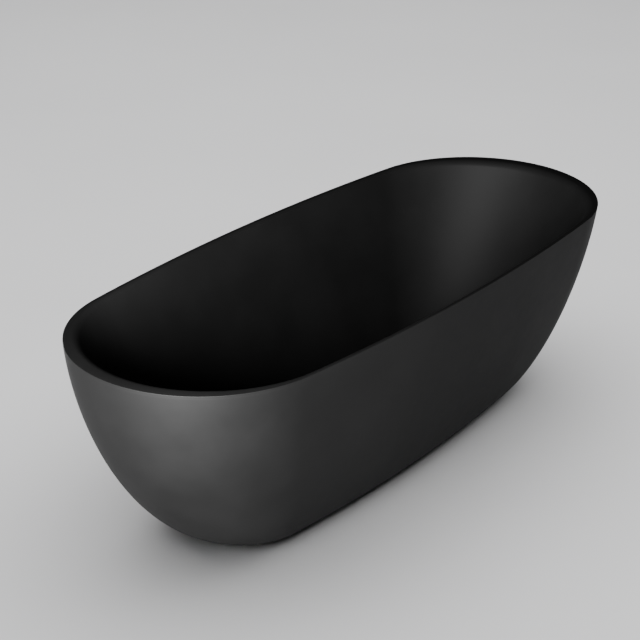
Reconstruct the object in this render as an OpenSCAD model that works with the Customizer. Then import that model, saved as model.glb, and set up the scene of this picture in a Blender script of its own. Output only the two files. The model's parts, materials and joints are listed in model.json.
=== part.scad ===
// Freestanding double-skinned bath: an outer shell and a basin bonded at the rim, carried on a
// steel cradle with levelling legs, with a push-open waste, a slot overflow and a low trap.
// Origin: centre of the footprint, on the floor. X runs along the bath, Z is up. Millimetres.

/* [Bath] */
// Overall length over the rim
tub_length = 1700; // [1500:10:1800]
// Overall width over the rim
tub_width = 695; // [690:1:720]
// Height of the rim above the floor
tub_height = 530; // [520:1:600]
// Length of the ring that stands on the floor
base_length = 1026; // [980:1:1060]
// Width of the ring that stands on the floor
base_width = 273; // [268:1:300]
// Thickness of the outer shell
shell_t = 5; // [4:0.5:8]
// Thickness of the basin
basin_t = 6; // [5:0.5:8]
// Height of the outer face of the rim
rim_lip = 6; // [5:0.5:12]

/* [Basin] */
// Length of the basin's mouth, where the flat rim ends
mouth_length = 1628; // [1610:1:1640]
// Width of the basin's mouth, where the flat rim ends
mouth_width = 686; // [676:1:687]
// Radius of the rounded inner edge of the rim
mouth_r = 14; // [12:1:18]
// Length of the basin's floor
floor_length = 960; // [900:10:1000]
// Width of the basin's floor
floor_width = 300; // [280:5:320]
// Height of the basin's floor at the drain
floor_z = 125; // [125:1:140]
// Fall of the basin's floor towards the drain
floor_fall = 3; // [2:0.5:4]

/* [Cradle] */
// Side of the square steel tube
tube = 25; // [25:1:25]
// Wall of the square steel tube
tube_wall = 2; // [1.5:0.5:3]
// Distance between the two rails
rail_gap = 170; // [160:5:175]
// Distance between the legs along the bath
leg_gap = 600; // [560:10:620]
// Distance between the outer cross bars
outer_bar_gap = 440; // [400:10:460]
// Distance between the inner cross bars
inner_bar_gap = 200; // [195:5:220]
// Diameter of the legs' threads
stud_d = 12; // [10:1:12]
// Diameter of a foot pad
pad_d = 40; // [36:1:40]

/* [Waste] */
// Diameter of the plug's cap
cap_d = 60; // [58:0.5:61]
// Outside diameter of the drain pipe
drain_d = 40; // [38:1:40]
// Height of the overflow slot above the floor
overflow_z = 415; // [405:1:420]

/* [Hidden] */

$fn = 64;
joint_gap = 0.05;       // radial running clearance
clear = 0.3;            // gap between neighbouring pieces that don't bear on each other

// Every outline is an oval of four arcs; this is the radius of its end arcs over its half width
rim_round = 0.917;
base_round = 0.862;
mouth_round = 0.917;
// Profiles: how fast the outline swells from the floor to the rim, along and across the bath
long_swell = [1.71, 1.71];
wide_swell = [1, 2.2];
basin_swell = [1, 1.4];

around = 72;            // steps round an outline
shell_rows = 16;
basin_rows = 12;
bond_t = 1.5;
foot_ring = 20;         // how far the shell turns in under itself
shell_top = tub_height - rim_lip - bond_t;

board_t = 18;
board_top = floor_z - basin_t;
board_z = board_top - board_t;
bar_z = board_z - tube;
rail_z = bar_z - tube;
legs = [for (sx = [-1, 1], sy = [-1, 1]) [sx * leg_gap / 2, sy * rail_gap / 2]];
bar_x = [-outer_bar_gap / 2, -inner_bar_gap / 2, inner_bar_gap / 2, outer_bar_gap / 2];
outer_bar_len = 360;
inner_bar_len = 236;
board_screw_y = 108;
brackets = [for (sx = [-1, 1], sy = [-1, 1]) [sx * outer_bar_gap / 2, sy]];

nut_af = 18;
weld_nut_h = 10;
lock_nut_h = 8;
flange_tube_r = 22.5;
flange_bore_r = 19.5;
stem_r = 4.5;
spring_r = 6.2;
spring_wire_r = 0.6;
spring_turns = 6;
body_r = 40;            // overflow chamber under the drain
body_z = 95;
tail_r = 23.5;
tail_z = 80;
trap_r = 38;
trap_top = 72;
trap_z = 22;
stub_r = 23.5;            // trap's outlet stub
stub_end = 64;
pipe_z = 50;            // axis of the outlet pipe
bend_r = 26;
bend_x = 150;
spigot_z = 4;

black = "#1d1d1e";
steel = "#8f9499";
zinc = "#b9bcbf";

// ---- Shape of the bath ----

function mix(a, b, u) = a + (b - a) * u;

function swell(h, s) = pow(1 - pow(1 - h, s[0]), 1 / s[1]);

// Radius of an oval's long arcs
function side_radius(half_l, half_w, round) =
    let (
        end_r = round * half_w,
        end_x = half_l - end_r
    )
    (end_x * end_x + half_w * half_w - end_r * end_r) / (2 * (half_w - end_r));

// A point of a quarter of the oval, from the end of the bath (share 0) to its long side (share 1)
function quarter_point(share, half_l, half_w, round) =
    let (
        end_r = round * half_w,
        end_x = half_l - end_r,
        side_r = side_radius(half_l, half_w, round),
        side_y = half_w - side_r,
        turn = atan2(-side_y, end_x),
        end_arc = end_r * turn,
        s = share * (end_arc + side_r * (90 - turn)),
        a = s < end_arc ? s / end_r : turn + (s - end_arc) / side_r
    )
    s < end_arc ? [end_x + end_r * cos(a), end_r * sin(a)] : [side_r * cos(a), side_y + side_r * sin(a)];

// A point of an oval; t goes from 0 to 360 round it, a quarter for each 90, from the +X end to +Y
function plan_point(t, half_l, half_w, round) =
    let (
        turns = (t + 360) / 90,
        quarter = floor(turns) % 4,
        part = turns - floor(turns),
        p = quarter_point(quarter % 2 == 0 ? part : 1 - part, half_l, half_w, round)
    )
    [(quarter == 1 || quarter == 2 ? -1 : 1) * p[0], (quarter > 1 ? -1 : 1) * p[1]];

// Outside of the bath: h is 0 at the floor and 1 at the rim
function wall_point(h, t) =
    let (
        along = swell(h, long_swell),
        across = swell(h, wide_swell),
        xy = plan_point(
            t,
            mix(base_length, tub_length, along) / 2,
            mix(base_width, tub_width, across) / 2,
            mix(base_round, rim_round, (along + across) / 2)
        )
    )
    [xy[0], xy[1], h * tub_height];

// The same surface by a row number that packs the rows near the floor, where it turns under
row_power = 2.4;
function shell_point(v, t) = wall_point(pow(v, row_power), t);
function unit(a) = a / norm(a);
function shell_normal(v, t) =
    let (
        d = 0.002,
        v0 = max(v - d, 0),
        up = shell_point(min(v0 + 2 * d, 1), t) - shell_point(v0, t),
        round = shell_point(v, t + 1) - shell_point(v, t - 1)
    )
    unit(cross(round, up));
v_top = pow(shell_top / tub_height, 1 / row_power);
v_lip = pow((tub_height - rim_lip) / tub_height, 1 / row_power);

function shell_inner(v, t) = shell_point(v, t) - shell_t * shell_normal(v, t);
function level(p, z) = [p[0], p[1], z];

// Basin wall: h is 0 at the edge of its floor and 1 where the rim's rounded edge starts
edge_turn = 72;         // degrees that the rounded edge turns before the wall goes on
edge_in = mouth_r * sin(edge_turn);
edge_down = mouth_r * (1 - cos(edge_turn));
wall_foot = floor_z + floor_fall;
wall_head = tub_height - edge_down;
basin_row_power = 1.9;
function basin_point(v, t) =
    let (h = pow(v, basin_row_power), u = swell(h, basin_swell))
    let (xy = plan_point(
        t,
        mix(floor_length / 2, mouth_length / 2 - edge_in, u),
        mix(floor_width / 2, mouth_width / 2 - edge_in, u),
        mix(base_round, mouth_round, u)
    ))
    [xy[0], xy[1], mix(wall_foot, wall_head, h)];
function basin_normal(v, t) =
    let (
        d = 0.002,
        v0 = max(v - d, 0),
        up = basin_point(min(v0 + 2 * d, 1), t) - basin_point(v0, t),
        round = basin_point(v, t + 1) - basin_point(v, t - 1)
    )
    unit(cross(round, up));
function basin_back(v, t) = basin_point(v, t) + basin_t * basin_normal(v, t);

// Row of the basin wall at a height
function basin_v(z) = pow((z - wall_foot) / (wall_head - wall_foot), 1 / basin_row_power);

// A ring of points, one for each step round the bath
function steps() = [for (i = [0 : around - 1]) 360 * i / around];
function ring_floor(s, z) =
    [for (t = steps()) let (p = plan_point(t, s * floor_length / 2, s * floor_width / 2, base_round))
        [p[0], p[1], z]];
function ring_mouth(turn, r) =
    [for (t = steps())
        let (
            inset = r * sin(turn),
            p = plan_point(t, mouth_length / 2 - inset, mouth_width / 2 - inset, mouth_round)
        )
        [p[0], p[1], tub_height - mouth_r + r * cos(turn)]];

function flat_points(rings) = [for (ring = rings) for (p = ring) p];
function band(a, b, n) =
    [for (i = [0 : n - 1]) let (j = (i + 1) % n) each [
        [a * n + i, b * n + i, b * n + j],
        [a * n + i, b * n + j, a * n + j],
    ]];

// Skin over a list of rings; a closed one joins its last ring to its first, an open one is capped
module ring_skin(rings, closed) {
    n = len(rings[0]);
    m = len(rings);
    bands = [for (k = [0 : m - (closed ? 1 : 2)]) each band(k, (k + 1) % m, n)];
    caps = closed ? [] : [[for (i = [0 : n - 1]) i], [for (i = [n - 1 : -1 : 0]) (m - 1) * n + i]];
    polyhedron(flat_points(rings), concat(bands, caps), convexity = 8);
}

// ---- Shells ----

module outer_shell() {
    rows = [for (k = [0 : shell_rows]) v_top * k / shell_rows];
    outside = [for (v = rows) [for (t = steps()) shell_point(v, t)]];
    inside = [for (k = [shell_rows : -1 : 0])
        [for (t = steps())
            let (p = shell_inner(rows[k], t))
            k == shell_rows ? level(p, shell_top) : (k == 0 ? level(p, shell_t) : p)]];
    foot = [for (z = [shell_t, 0])
        [for (t = steps())
            level(plan_point(t, base_length / 2 - foot_ring, base_width / 2 - foot_ring, base_round), z)]];
    color(black)
        ring_skin(concat(outside, inside, foot), true);
}

module rim_bond() {
    inset = 0.4;
    z0 = shell_top;
    z1 = tub_height - rim_lip;
    outer_edge = [for (t = steps())
        shell_point(v_top, t) - inset * shell_normal(v_top, t)];
    inner_edge = [for (t = steps())
        shell_point(v_top, t) - (shell_t - 0.6) * shell_normal(v_top, t)];
    rings = [
        [for (p = outer_edge) level(p, z0)],
        [for (p = outer_edge) level(p, z1)],
        [for (p = inner_edge) level(p, z1)],
        [for (p = inner_edge) level(p, z0)],
    ];
    color("#2a2a2a")
        ring_skin(rings, true);
}

function basin_rings() =
    let (
        edge_r = 1,
        lip_z = tub_height - rim_lip,
        back_r = mouth_r - basin_t,
        under_floor = [for (s = [0.03, 0.3, 0.65, 1]) ring_floor(s, board_top)],
        back = [for (k = [1 : basin_rows])
            [for (t = steps()) basin_back(k / basin_rows, t)]],
        back_edge = [for (turn = [54, 32]) ring_mouth(turn, back_r)],
        lip = [
            [for (t = steps()) level(shell_inner(v_lip, t), lip_z)],
            [for (t = steps()) shell_point(v_lip, t)],
            [for (t = steps()) level(wall_point(1, t), tub_height - edge_r)],
            [for (t = steps()) level(wall_point(1, t) - 0.3 * edge_r * shell_normal(1, t),
                tub_height - 0.3 * edge_r)],
            [for (t = steps()) level(wall_point(1, t) - edge_r * shell_normal(1, t), tub_height)],
        ],
        mouth = [for (turn = [0, 18, 36, 54]) ring_mouth(turn, mouth_r)],
        wall = [for (k = [basin_rows : -1 : 1])
            [for (t = steps()) basin_point(k / basin_rows, t)]],
        floor_rings = [for (s = [1, 0.8, 0.55, 0.3, 0.03])
            ring_floor(s, floor_z + floor_fall * pow(max(s - 0.3, 0) / 0.7, 2))]
    )
    concat(under_floor, back, back_edge, lip, mouth, wall, floor_rings);

// Moves children to the overflow: Z points out of the wall into the bath, Y down the wall
overflow_v = basin_v(overflow_z);
overflow_spot = basin_point(overflow_v, 270);
overflow_normal = -basin_normal(overflow_v, 270);
module at_overflow() {
    translate(overflow_spot)
        rotate([-(90 - asin(overflow_normal[2])), 0, 0])
            children();
}

// A plate with round ends, long along X
module stadium(l, w, z0, z1) {
    for (sx = [-1, 1])
        translate([sx * (l - w) / 2, 0, z0])
            cylinder(d = w, h = z1 - z0);
    translate([-(l - w) / 2, -w / 2, z0])
        cube([l - w, w, z1 - z0]);
}
overflow_screw_x = 29;

module inner_basin() {
    color(black)
        difference() {
            ring_skin(basin_rings(), false);
            translate([0, 0, board_top - 1])
                cylinder(r = 26, h = basin_t + 6);
            at_overflow() {
                stadium(52, 12, -basin_t - 4, 4);
                for (sx = [-1, 1])
                    translate([sx * overflow_screw_x, 0, -basin_t - 4])
                        cylinder(r = 2, h = basin_t + 8);
            }
        }
}

// ---- Board and cradle ----

module base_board() {
    hole_r = 50;
    slot_w = 30;
    corner = 60;
    l = 800;
    w = 240;
    color("#b58e5c")
        difference() {
            translate([0, 0, board_z])
                linear_extrude(board_t)
                    union() {
                        square([l - 2 * corner, w], center = true);
                        square([l, w - 2 * corner], center = true);
                        for (sx = [-1, 1], sy = [-1, 1])
                            translate([sx * (l / 2 - corner), sy * (w / 2 - corner)])
                                circle(r = corner);
                    }
            translate([0, 0, board_z - 1])
                cylinder(r = hole_r, h = board_t + 2);
            translate([-slot_w / 2, -w, board_z - 1])
                cube([slot_w, w, board_t + 2]);
            for (p = board_screw_spots())
                translate([p[0], p[1], board_z - 1])
                    cylinder(r = screw_r + joint_gap, h = screw_grip + 1);
        }
}

screw_r = 2.5;
screw_grip = 14;        // length of a screw in the board
function board_screw_spots() = [for (x = bar_x, sy = [-1, 1]) [x, sy * board_screw_y]];

module board_screws() {
    color(zinc)
        for (p = board_screw_spots())
            translate([p[0], p[1], 0]) {
                translate([0, 0, bar_z - 1])
                    cylinder(r = screw_r, h = board_z - bar_z + screw_grip);
                translate([0, 0, bar_z - 3.5])
                    cylinder(r = 5, h = 3.5);
            }
}

// A length of square tube along X, its corner edges square, centred on the origin
module square_tube(l) {
    difference() {
        cube([l, tube, tube], center = true);
        cube([l + 2, tube - 2 * tube_wall, tube - 2 * tube_wall], center = true);
    }
}

rail_len = leg_gap + 90;
module frame_rail(side) {
    color(steel)
        difference() {
            translate([0, side * rail_gap / 2, rail_z + tube / 2])
                square_tube(rail_len);
            for (p = legs)
                if (sign(p[1]) == side)
                    translate([p[0], p[1], rail_z - 1])
                        cylinder(r = stud_d / 2 + 0.5, h = tube + 2);
        }
}
module frame_rail_left() { frame_rail(1); }
module frame_rail_right() { frame_rail(-1); }

module cross_bar(n) {
    x = bar_x[n];
    l = abs(x) == outer_bar_gap / 2 ? outer_bar_len : inner_bar_len;
    color(steel)
        difference() {
            translate([x, 0, bar_z + tube / 2])
                rotate([0, 0, 90])
                    square_tube(l);
            for (sy = [-1, 1])
                translate([x, sy * board_screw_y, bar_z - 1])
                    cylinder(r = screw_r + joint_gap, h = tube + 2);
        }
}
module cross_bar_1() { cross_bar(0); }
module cross_bar_2() { cross_bar(1); }
module cross_bar_3() { cross_bar(2); }
module cross_bar_4() { cross_bar(3); }

// Plastic plugs in the open ends of the rails
module rail_caps() {
    head = 2.5;
    plug = 12;
    fit = tube - 2 * tube_wall - 0.2;
    color("#202020")
        for (sx = [-1, 1], sy = [-1, 1])
            translate([sx * rail_len / 2, sy * rail_gap / 2, rail_z + tube / 2])
                rotate([0, sx > 0 ? 0 : 180, 0]) {
                    translate([0, -tube / 2, -tube / 2])
                        cube([head, tube, tube]);
                    translate([-plug, -fit / 2, -fit / 2])
                        cube([plug, fit, fit]);
                }
}

module hex_nut(af, h, bore_r) {
    difference() {
        cylinder(r = af / 2 / cos(30), h = h, $fn = 6);
        translate([0, 0, -1])
            cylinder(r = bore_r, h = h + 2);
    }
}
module weld_nuts() {
    color(steel)
        for (p = legs)
            translate([p[0], p[1], rail_z - weld_nut_h])
                hex_nut(nut_af, weld_nut_h, stud_d / 2 + joint_gap);
}
module lock_nuts() {
    color(zinc)
        for (p = legs)
            translate([p[0], p[1], rail_z - weld_nut_h - lock_nut_h])
                hex_nut(nut_af, lock_nut_h, stud_d / 2 + joint_gap);
}

// Bent plate from the end of an outer cross bar up to the inside of the shell
bracket_t = 3;
bracket_w = 40;
bracket_z = bar_z - bracket_t;
bracket_leaf = 34;      // length of the leaf that leans against the shell
function shell_side(z) = shell_inner(pow(z / tub_height, 1 / row_power), 90)[1];
bracket_lean = atan((shell_side(bracket_z + bracket_leaf) - shell_side(bracket_z)) / bracket_leaf);
bracket_gap = 10;       // how far a bracket stays inside the widest line of the shell
bracket_reach = shell_side(bracket_z) - bracket_gap;
module skirt_bracket(n) {
    p = brackets[n];
    foot_y = 148;
    s = sin(bracket_lean);
    c = cos(bracket_lean);
    top = [bracket_reach + bracket_leaf * s, bracket_z + bracket_leaf * c];
    color(zinc)
        translate([p[0], 0, 0])
            mirror([0, p[1] > 0 ? 0 : 1, 0])
                difference() {
                    translate([-bracket_w / 2, 0, 0])
                        rotate([90, 0, 90])
                            linear_extrude(bracket_w)
                                polygon([
                                    [foot_y, bracket_z], [bracket_reach, bracket_z],
                                    top, top + bracket_t * [-c, s],
                                    [bracket_reach - bracket_t * (c - (1 - s) * s / c), bar_z],
                                    [foot_y, bar_z],
                                ]);
                    translate([0, foot_y + 14, bracket_z - 1])
                        cylinder(r = 3 + joint_gap, h = bracket_t + 2);
                }
}
module skirt_bracket_1() { skirt_bracket(0); }
module skirt_bracket_2() { skirt_bracket(1); }
module skirt_bracket_3() { skirt_bracket(2); }
module skirt_bracket_4() { skirt_bracket(3); }

module bracket_screws() {
    color(zinc)
        for (p = brackets)
            translate([p[0], p[1] * 162, bracket_z - 3]) {
                cylinder(r = 5.5, h = 3, $fn = 6);
                cylinder(r = 3, h = 3 + bracket_t);
            }
}

// ---- Levelling legs ----

pad_h = 6;
pad_boss_h = 14;
stud_top = rail_z + 35;
collar_z = 16;
module leg_stud(n) {
    p = legs[n];
    color(zinc)
        translate([p[0], p[1], 0]) {
            translate([0, 0, collar_z])
                cylinder(d = stud_d, h = stud_top - collar_z);
            translate([0, 0, collar_z])
                cylinder(r = 8, h = 6, $fn = 6);
            translate([0, 0, 7.2])
                cylinder(r = 5, h = collar_z - 7.2 + 1);
        }
}
module leg_stud_1() { leg_stud(0); }
module leg_stud_2() { leg_stud(1); }
module leg_stud_3() { leg_stud(2); }
module leg_stud_4() { leg_stud(3); }

module foot_pad(n) {
    p = legs[n];
    color("#2b2b2c")
        translate([p[0], p[1], 0])
            difference() {
                rotate_extrude()
                    polygon([
                        [0, 0], [pad_d / 2 - 1, 0], [pad_d / 2, 1], [pad_d / 2, pad_h - 1],
                        [pad_d / 2 - 1, pad_h], [12, pad_h + 2], [10, pad_boss_h], [0, pad_boss_h],
                    ]);
                translate([0, 0, 7])
                    cylinder(r = 5 + joint_gap, h = pad_boss_h);
            }
}
module foot_pad_1() { foot_pad(0); }
module foot_pad_2() { foot_pad(1); }
module foot_pad_3() { foot_pad(2); }
module foot_pad_4() { foot_pad(3); }

// ---- Waste and plug ----

seat_z = floor_z + 3;   // floor of the recess that the cap drops into
cap_z = seat_z + 1.8;   // underside of the cap when shut

module waste_flange() {
    hub_z = 100;
    hub_h = 6;
    color("#26272a") {
        rotate_extrude()
            polygon([
                [flange_bore_r, body_z + 1], [flange_tube_r, body_z + 1],
                [flange_tube_r, floor_z + 1.5], [36, floor_z + 1.5], [36, seat_z + 0.6],
                [34.8, seat_z + 1.5], [cap_d / 2 + 1, seat_z + 1.5], [cap_d / 2 + 1, seat_z],
                [flange_bore_r, seat_z],
            ]);
        difference() {
            union() {
                translate([0, 0, hub_z])
                    cylinder(r = 11, h = hub_h);
                for (a = [0, 120, 240])
                    rotate([0, 0, a])
                        translate([9, -1.5, hub_z])
                            cube([flange_bore_r + 1 - 9, 3, hub_h]);
            }
            translate([0, 0, hub_z - 1])
                cylinder(r = 8 + joint_gap, h = hub_h + 2);
        }
    }
}

module flat_ring(r0, r1, z0, z1) {
    rotate_extrude()
        translate([r0, z0])
            square([r1 - r0, z1 - z0]);
}
module upper_seal() {
    color("#3a3a3a")
        flat_ring(26.5, 34, floor_z, floor_z + 1.5);
}
module lower_seal() {
    color("#3a3a3a")
        flat_ring(27, body_r - 1, board_top - 4, board_top);
}

hose_r = 10;
hose_z = 105;
inlet_y = -body_r - 22;
module waste_body() {
    wall = 3.5;
    top = board_top - 4;
    color("#2f3032")
        difference() {
            union() {
                rotate_extrude()
                    polygon([
                        [flange_bore_r, tail_z], [tail_r, tail_z], [tail_r, body_z], [body_r, body_z],
                        [body_r, top], [27.5, top], [27.5, top - wall], [body_r - wall, top - wall],
                        [body_r - wall, body_z + wall], [flange_tube_r + joint_gap, body_z + wall],
                        [flange_tube_r + joint_gap, body_z + 1], [flange_bore_r, body_z + 1],
                    ]);
                translate([0, -body_r + wall / 2, hose_z])
                    rotate([90, 0, 0])
                        cylinder(r = 8, h = -inlet_y - body_r + wall / 2);
            }
            translate([0, -body_r + 2 * wall, hose_z])
                rotate([90, 0, 0])
                    cylinder(r = 6, h = 60);
        }
}

cartridge_top = 112;
module plug_cartridge() {
    color("#c9cbce")
        difference() {
            union() {
                translate([0, 0, 92])
                    cylinder(r = 8, h = cartridge_top - 92);
                translate([0, 0, 106])
                    cylinder(r = 10, h = 3);
            }
            translate([0, 0, 95])
                cylinder(r = stem_r + 0.1, h = 30);
        }
}
cap_boss_z = 124;
module plug_cap() {
    rise = 2.4;
    edge = 1;
    dome_r = (pow(cap_d / 2, 2) + pow(rise, 2)) / (2 * rise);
    color(black)
        difference() {
            rotate_extrude()
                polygon(concat(
                    [[0, cap_boss_z], [7, cap_boss_z], [7, cap_z], [cap_d / 2, cap_z]],
                    [for (k = [0 : 10])
                        let (r = cap_d / 2 * (1 - k / 10))
                        [r, cap_z + edge + sqrt(dome_r * dome_r - r * r) - (dome_r - rise)]]
                ));
            translate([0, 0, cap_boss_z - 1])
                cylinder(r = stem_r, h = 5);
        }
}
module plug_seal() {
    color("#3a3a3a")
        flat_ring(20.5, 26.5, seat_z + clear, cap_z);
}
module plug_stem() {
    color("#c9cbce")
        translate([0, 0, 98])
            cylinder(r = stem_r, h = cap_boss_z + 4 - 98);
}

// A round wire along a list of points; the path never runs along the reference direction
module wire(path, r, sides, reference) {
    last = len(path) - 1;
    rings = [for (k = [0 : last])
        let (
            ahead = unit(path[min(k + 1, last)] - path[max(k - 1, 0)]),
            side = unit(cross(ahead, reference)),
            other = cross(ahead, side)
        )
        [for (i = [0 : sides - 1])
            let (a = 360 * i / sides)
            path[k] + r * (cos(a) * side + sin(a) * other)]];
    ring_skin(rings, false);
}
module plug_spring() {
    z0 = cartridge_top + spring_wire_r + 0.1;
    z1 = cap_boss_z - spring_wire_r - 0.1;
    per_turn = 16;
    total = spring_turns * per_turn;
    path = [for (k = [0 : total])
        let (a = 360 * k / per_turn)
        [spring_r * cos(a), spring_r * sin(a), mix(z0, z1, k / total)]];
    color("#c9cbce")
        wire(path, spring_wire_r, 6, [0, 0, 1]);
}

// ---- Overflow ----

box_back = -20;
box_front = -basin_t - 2.3;
module overflow_cover() {
    color(black)
        at_overflow()
            difference() {
                union() {
                    stadium(70, 18, 0.4, 3);
                    stadium(50.6, 10.6, box_front, 0.4);
                }
                stadium(44, 6, box_front - 1, 4);
                for (sx = [-1, 1])
                    translate([sx * overflow_screw_x, 0, 0])
                        cylinder(r = 1.7, h = 4);
            }
}
module overflow_seal() {
    color("#3a3a3a")
        at_overflow()
            difference() {
                stadium(72, 22, box_front, -basin_t - clear);
                stadium(51, 11, box_front - 1, 0);
                for (sx = [-1, 1])
                    translate([sx * overflow_screw_x, 0, box_front - 1])
                        cylinder(r = 1.7, h = 4);
            }
}
spout_r = 9;
spout_drop = -17.5;     // depth of the spout's axis behind the wall
module overflow_box() {
    wall = 2;
    color("#2f3032")
        at_overflow()
            difference() {
                union() {
                    stadium(76, 26, box_back, box_front);
                    translate([-14, 0, box_back])
                        cube([28, 42, box_front - box_back]);
                    translate([0, spout_end / 2, spout_drop])
                        rotate([-90, 0, 0])
                            cylinder(r = spout_r, h = spout_end / 2);
                }
                stadium(50, 18, box_back + wall, box_front + 1);
                translate([-10, 0, box_back + wall])
                    cube([20, 38, box_front - box_back - 2 * wall]);
                translate([0, 20, spout_drop + 3])
                    rotate([-90, 0, 0])
                        cylinder(r = 3.5, h = 30);
                translate([0, 38, spout_drop])
                    rotate([-90, 0, 0])
                        cylinder(r = spout_r - 2, h = 40);
                for (sx = [-1, 1])
                    translate([sx * overflow_screw_x, 0, box_back + 3])
                        cylinder(r = 1.5, h = 30);
            }
}
module overflow_screws() {
    color("#26272a")
        at_overflow()
            for (sx = [-1, 1])
                translate([sx * overflow_screw_x, 0, 0]) {
                    translate([0, 0, box_back + 4])
                        cylinder(r = 1.5, h = 23);
                    translate([0, 0, 3])
                        cylinder(r = 3, h = 1.2);
                }
}

// Route of the overflow hose, down between the two skins and in to the waste body
down_wall = [0, overflow_normal[2], -overflow_normal[1]];
spout_end = 68;
hose_start = overflow_spot + spout_drop * overflow_normal + (spout_end + 0.8) * down_wall;
function between_skins(z) = (shell_side(z) + basin_back(basin_v(z), 90)[1]) / 2;
hose_points = [
    hose_start,
    hose_start + 14 * down_wall,
    each [for (z = [305 : -32.5 : 175]) [0, -between_skins(z), z]],
    [0, -200, 136],
    [0, -170, 113],
    [0, -130, hose_z],
    [0, -95, hose_z],
    [0, inlet_y, hose_z],
];
function spline(a, b, c, d, u) =
    0.5 * (2 * b + (c - a) * u + (2 * a - 5 * b + 4 * c - d) * u * u + (3 * b - a - 3 * c + d) * u * u * u);
function smooth_path(p, n) =
    let (m = len(p))
    [for (k = [0 : m - 2], j = [0 : n - 1])
        spline(p[max(k - 1, 0)], p[k], p[k + 1], p[min(k + 2, m - 1)], j / n), p[m - 1]];
module overflow_hose() {
    color("#4a4b4d")
        wire(smooth_path(hose_points, 4), hose_r, 12, [1, 0, 0]);
}
module hose_clip() {
    difference() {
        cylinder(r = hose_r + 2, h = 7);
        translate([0, 0, -1])
            cylinder(r = hose_r + 0.1, h = 9);
    }
}
module hose_clips() {
    color(zinc) {
        translate([0, inlet_y - 1, hose_z])
            rotate([90, 0, 0])
                hose_clip();
        at_overflow()
            translate([0, spout_end + 1, spout_drop])
                rotate([-90, 0, 0])
                    hose_clip();
    }
}

// ---- Trap and outlet ----

module trap_nut() {
    color("#2f3032")
        difference() {
            rotate_extrude()
                polygon([
                    [22.4, trap_top + 1.7], [30, trap_top + 1.7], [30, body_z - 3],
                    [tail_r + joint_gap, body_z - 3], [tail_r + joint_gap, tail_z + 0.5],
                    [26.4, tail_z + 0.5], [26.4, trap_top + 3.7], [22.4, trap_top + 3.7],
                ]);
            for (a = [0 : 30 : 330])
                rotate([0, 0, a])
                    translate([31, 0, trap_top])
                        cylinder(r = 2.5, h = 30);
        }
}
module trap_nut_seal() {
    color("#3a3a3a")
        flat_ring(flange_bore_r, 26, trap_top + 6, tail_z);
}
module trap_head() {
    wall = 2.5;
    dip_z = 30;
    color("#2f3032")
        difference() {
            union() {
                rotate_extrude()
                    polygon([
                        [0, trap_z], [trap_r, trap_z], [trap_r, trap_top - 4], [trap_r - 4, trap_top],
                        [22, trap_top], [22, trap_top + 4], [26, trap_top + 4], [26, trap_top + 6],
                        [0, trap_top + 6],
                    ]);
                translate([0, 0, pipe_z])
                    rotate([0, 90, 0])
                        cylinder(r = stub_r, h = stub_end);
            }
            rotate_extrude()
                polygon([
                    [flange_bore_r + wall, trap_z + wall], [trap_r - wall, trap_z + wall],
                    [trap_r - wall, trap_top - 5], [trap_r - 6, trap_top - wall],
                    [flange_bore_r + wall, trap_top - wall],
                ]);
            cylinder(r = flange_bore_r, h = 100);
            cylinder(r = 28 + joint_gap, h = trap_z + wall + 0.1);
            translate([0, 0, trap_z + wall])
                cylinder(r = trap_r - wall, h = dip_z - trap_z - wall);
            translate([trap_r - wall - 2, 0, pipe_z])
                rotate([0, 90, 0])
                    cylinder(r = drain_d / 2 - 2, h = stub_end);
            translate([48, 0, pipe_z])
                rotate([0, 90, 0])
                    cylinder(r = drain_d / 2 + joint_gap, h = stub_end);
        }
}
module trap_cap() {
    grip_z = 12;
    color("#26272a") {
        translate([0, 0, trap_z - 2])
            cylinder(r = 28, h = 4.5);
        translate([0, 0, grip_z])
            difference() {
                cylinder(r = 33, h = trap_z - 2 - grip_z);
                for (a = [0 : 45 : 315])
                    rotate([0, 0, a])
                        translate([34, 0, -1])
                            cylinder(r = 4, h = 12);
            }
    }
}
module trap_cap_seal() {
    color("#3a3a3a")
        flat_ring(28.2, 32, trap_z - 2, trap_z);
}
module outlet_nut() {
    color("#2f3032")
        translate([0, 0, pipe_z])
            rotate([0, 90, 0])
                difference() {
                    rotate_extrude()
                        polygon([
                            [stub_r + joint_gap, stub_end - 14], [29, stub_end - 14], [29, stub_end + 8],
                            [drain_d / 2 + clear, stub_end + 8], [drain_d / 2 + clear, stub_end + 3],
                            [stub_r + joint_gap, stub_end + 3],
                        ]);
                    for (a = [0 : 30 : 330])
                        rotate([0, 0, a])
                            translate([30, 0, stub_end - 16])
                                cylinder(r = 2.5, h = 30);
                }
}
module outlet_seal() {
    color("#3a3a3a")
        translate([0, 0, pipe_z])
            rotate([0, 90, 0])
                flat_ring(drain_d / 2 + joint_gap, stub_r, stub_end, stub_end + 3);
}
module outlet_elbow() {
    wall = 2;
    pipe_r = drain_d / 2;
    start_x = 50;
    color("#2f3032") {
        translate([start_x, 0, pipe_z])
            rotate([0, 90, 0])
                flat_ring(pipe_r - wall, pipe_r, 0, bend_x - start_x);
        translate([bend_x, 0, pipe_z - bend_r])
            rotate([90, 0, 0])
                rotate_extrude(angle = 90)
                    translate([bend_r, 0])
                        difference() {
                            circle(r = pipe_r);
                            circle(r = pipe_r - wall);
                        }
        translate([bend_x + bend_r, 0, spigot_z])
            flat_ring(pipe_r - wall, pipe_r, 0, pipe_z - bend_r - spigot_z);
    }
}

// ---- Nodes ----

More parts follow.
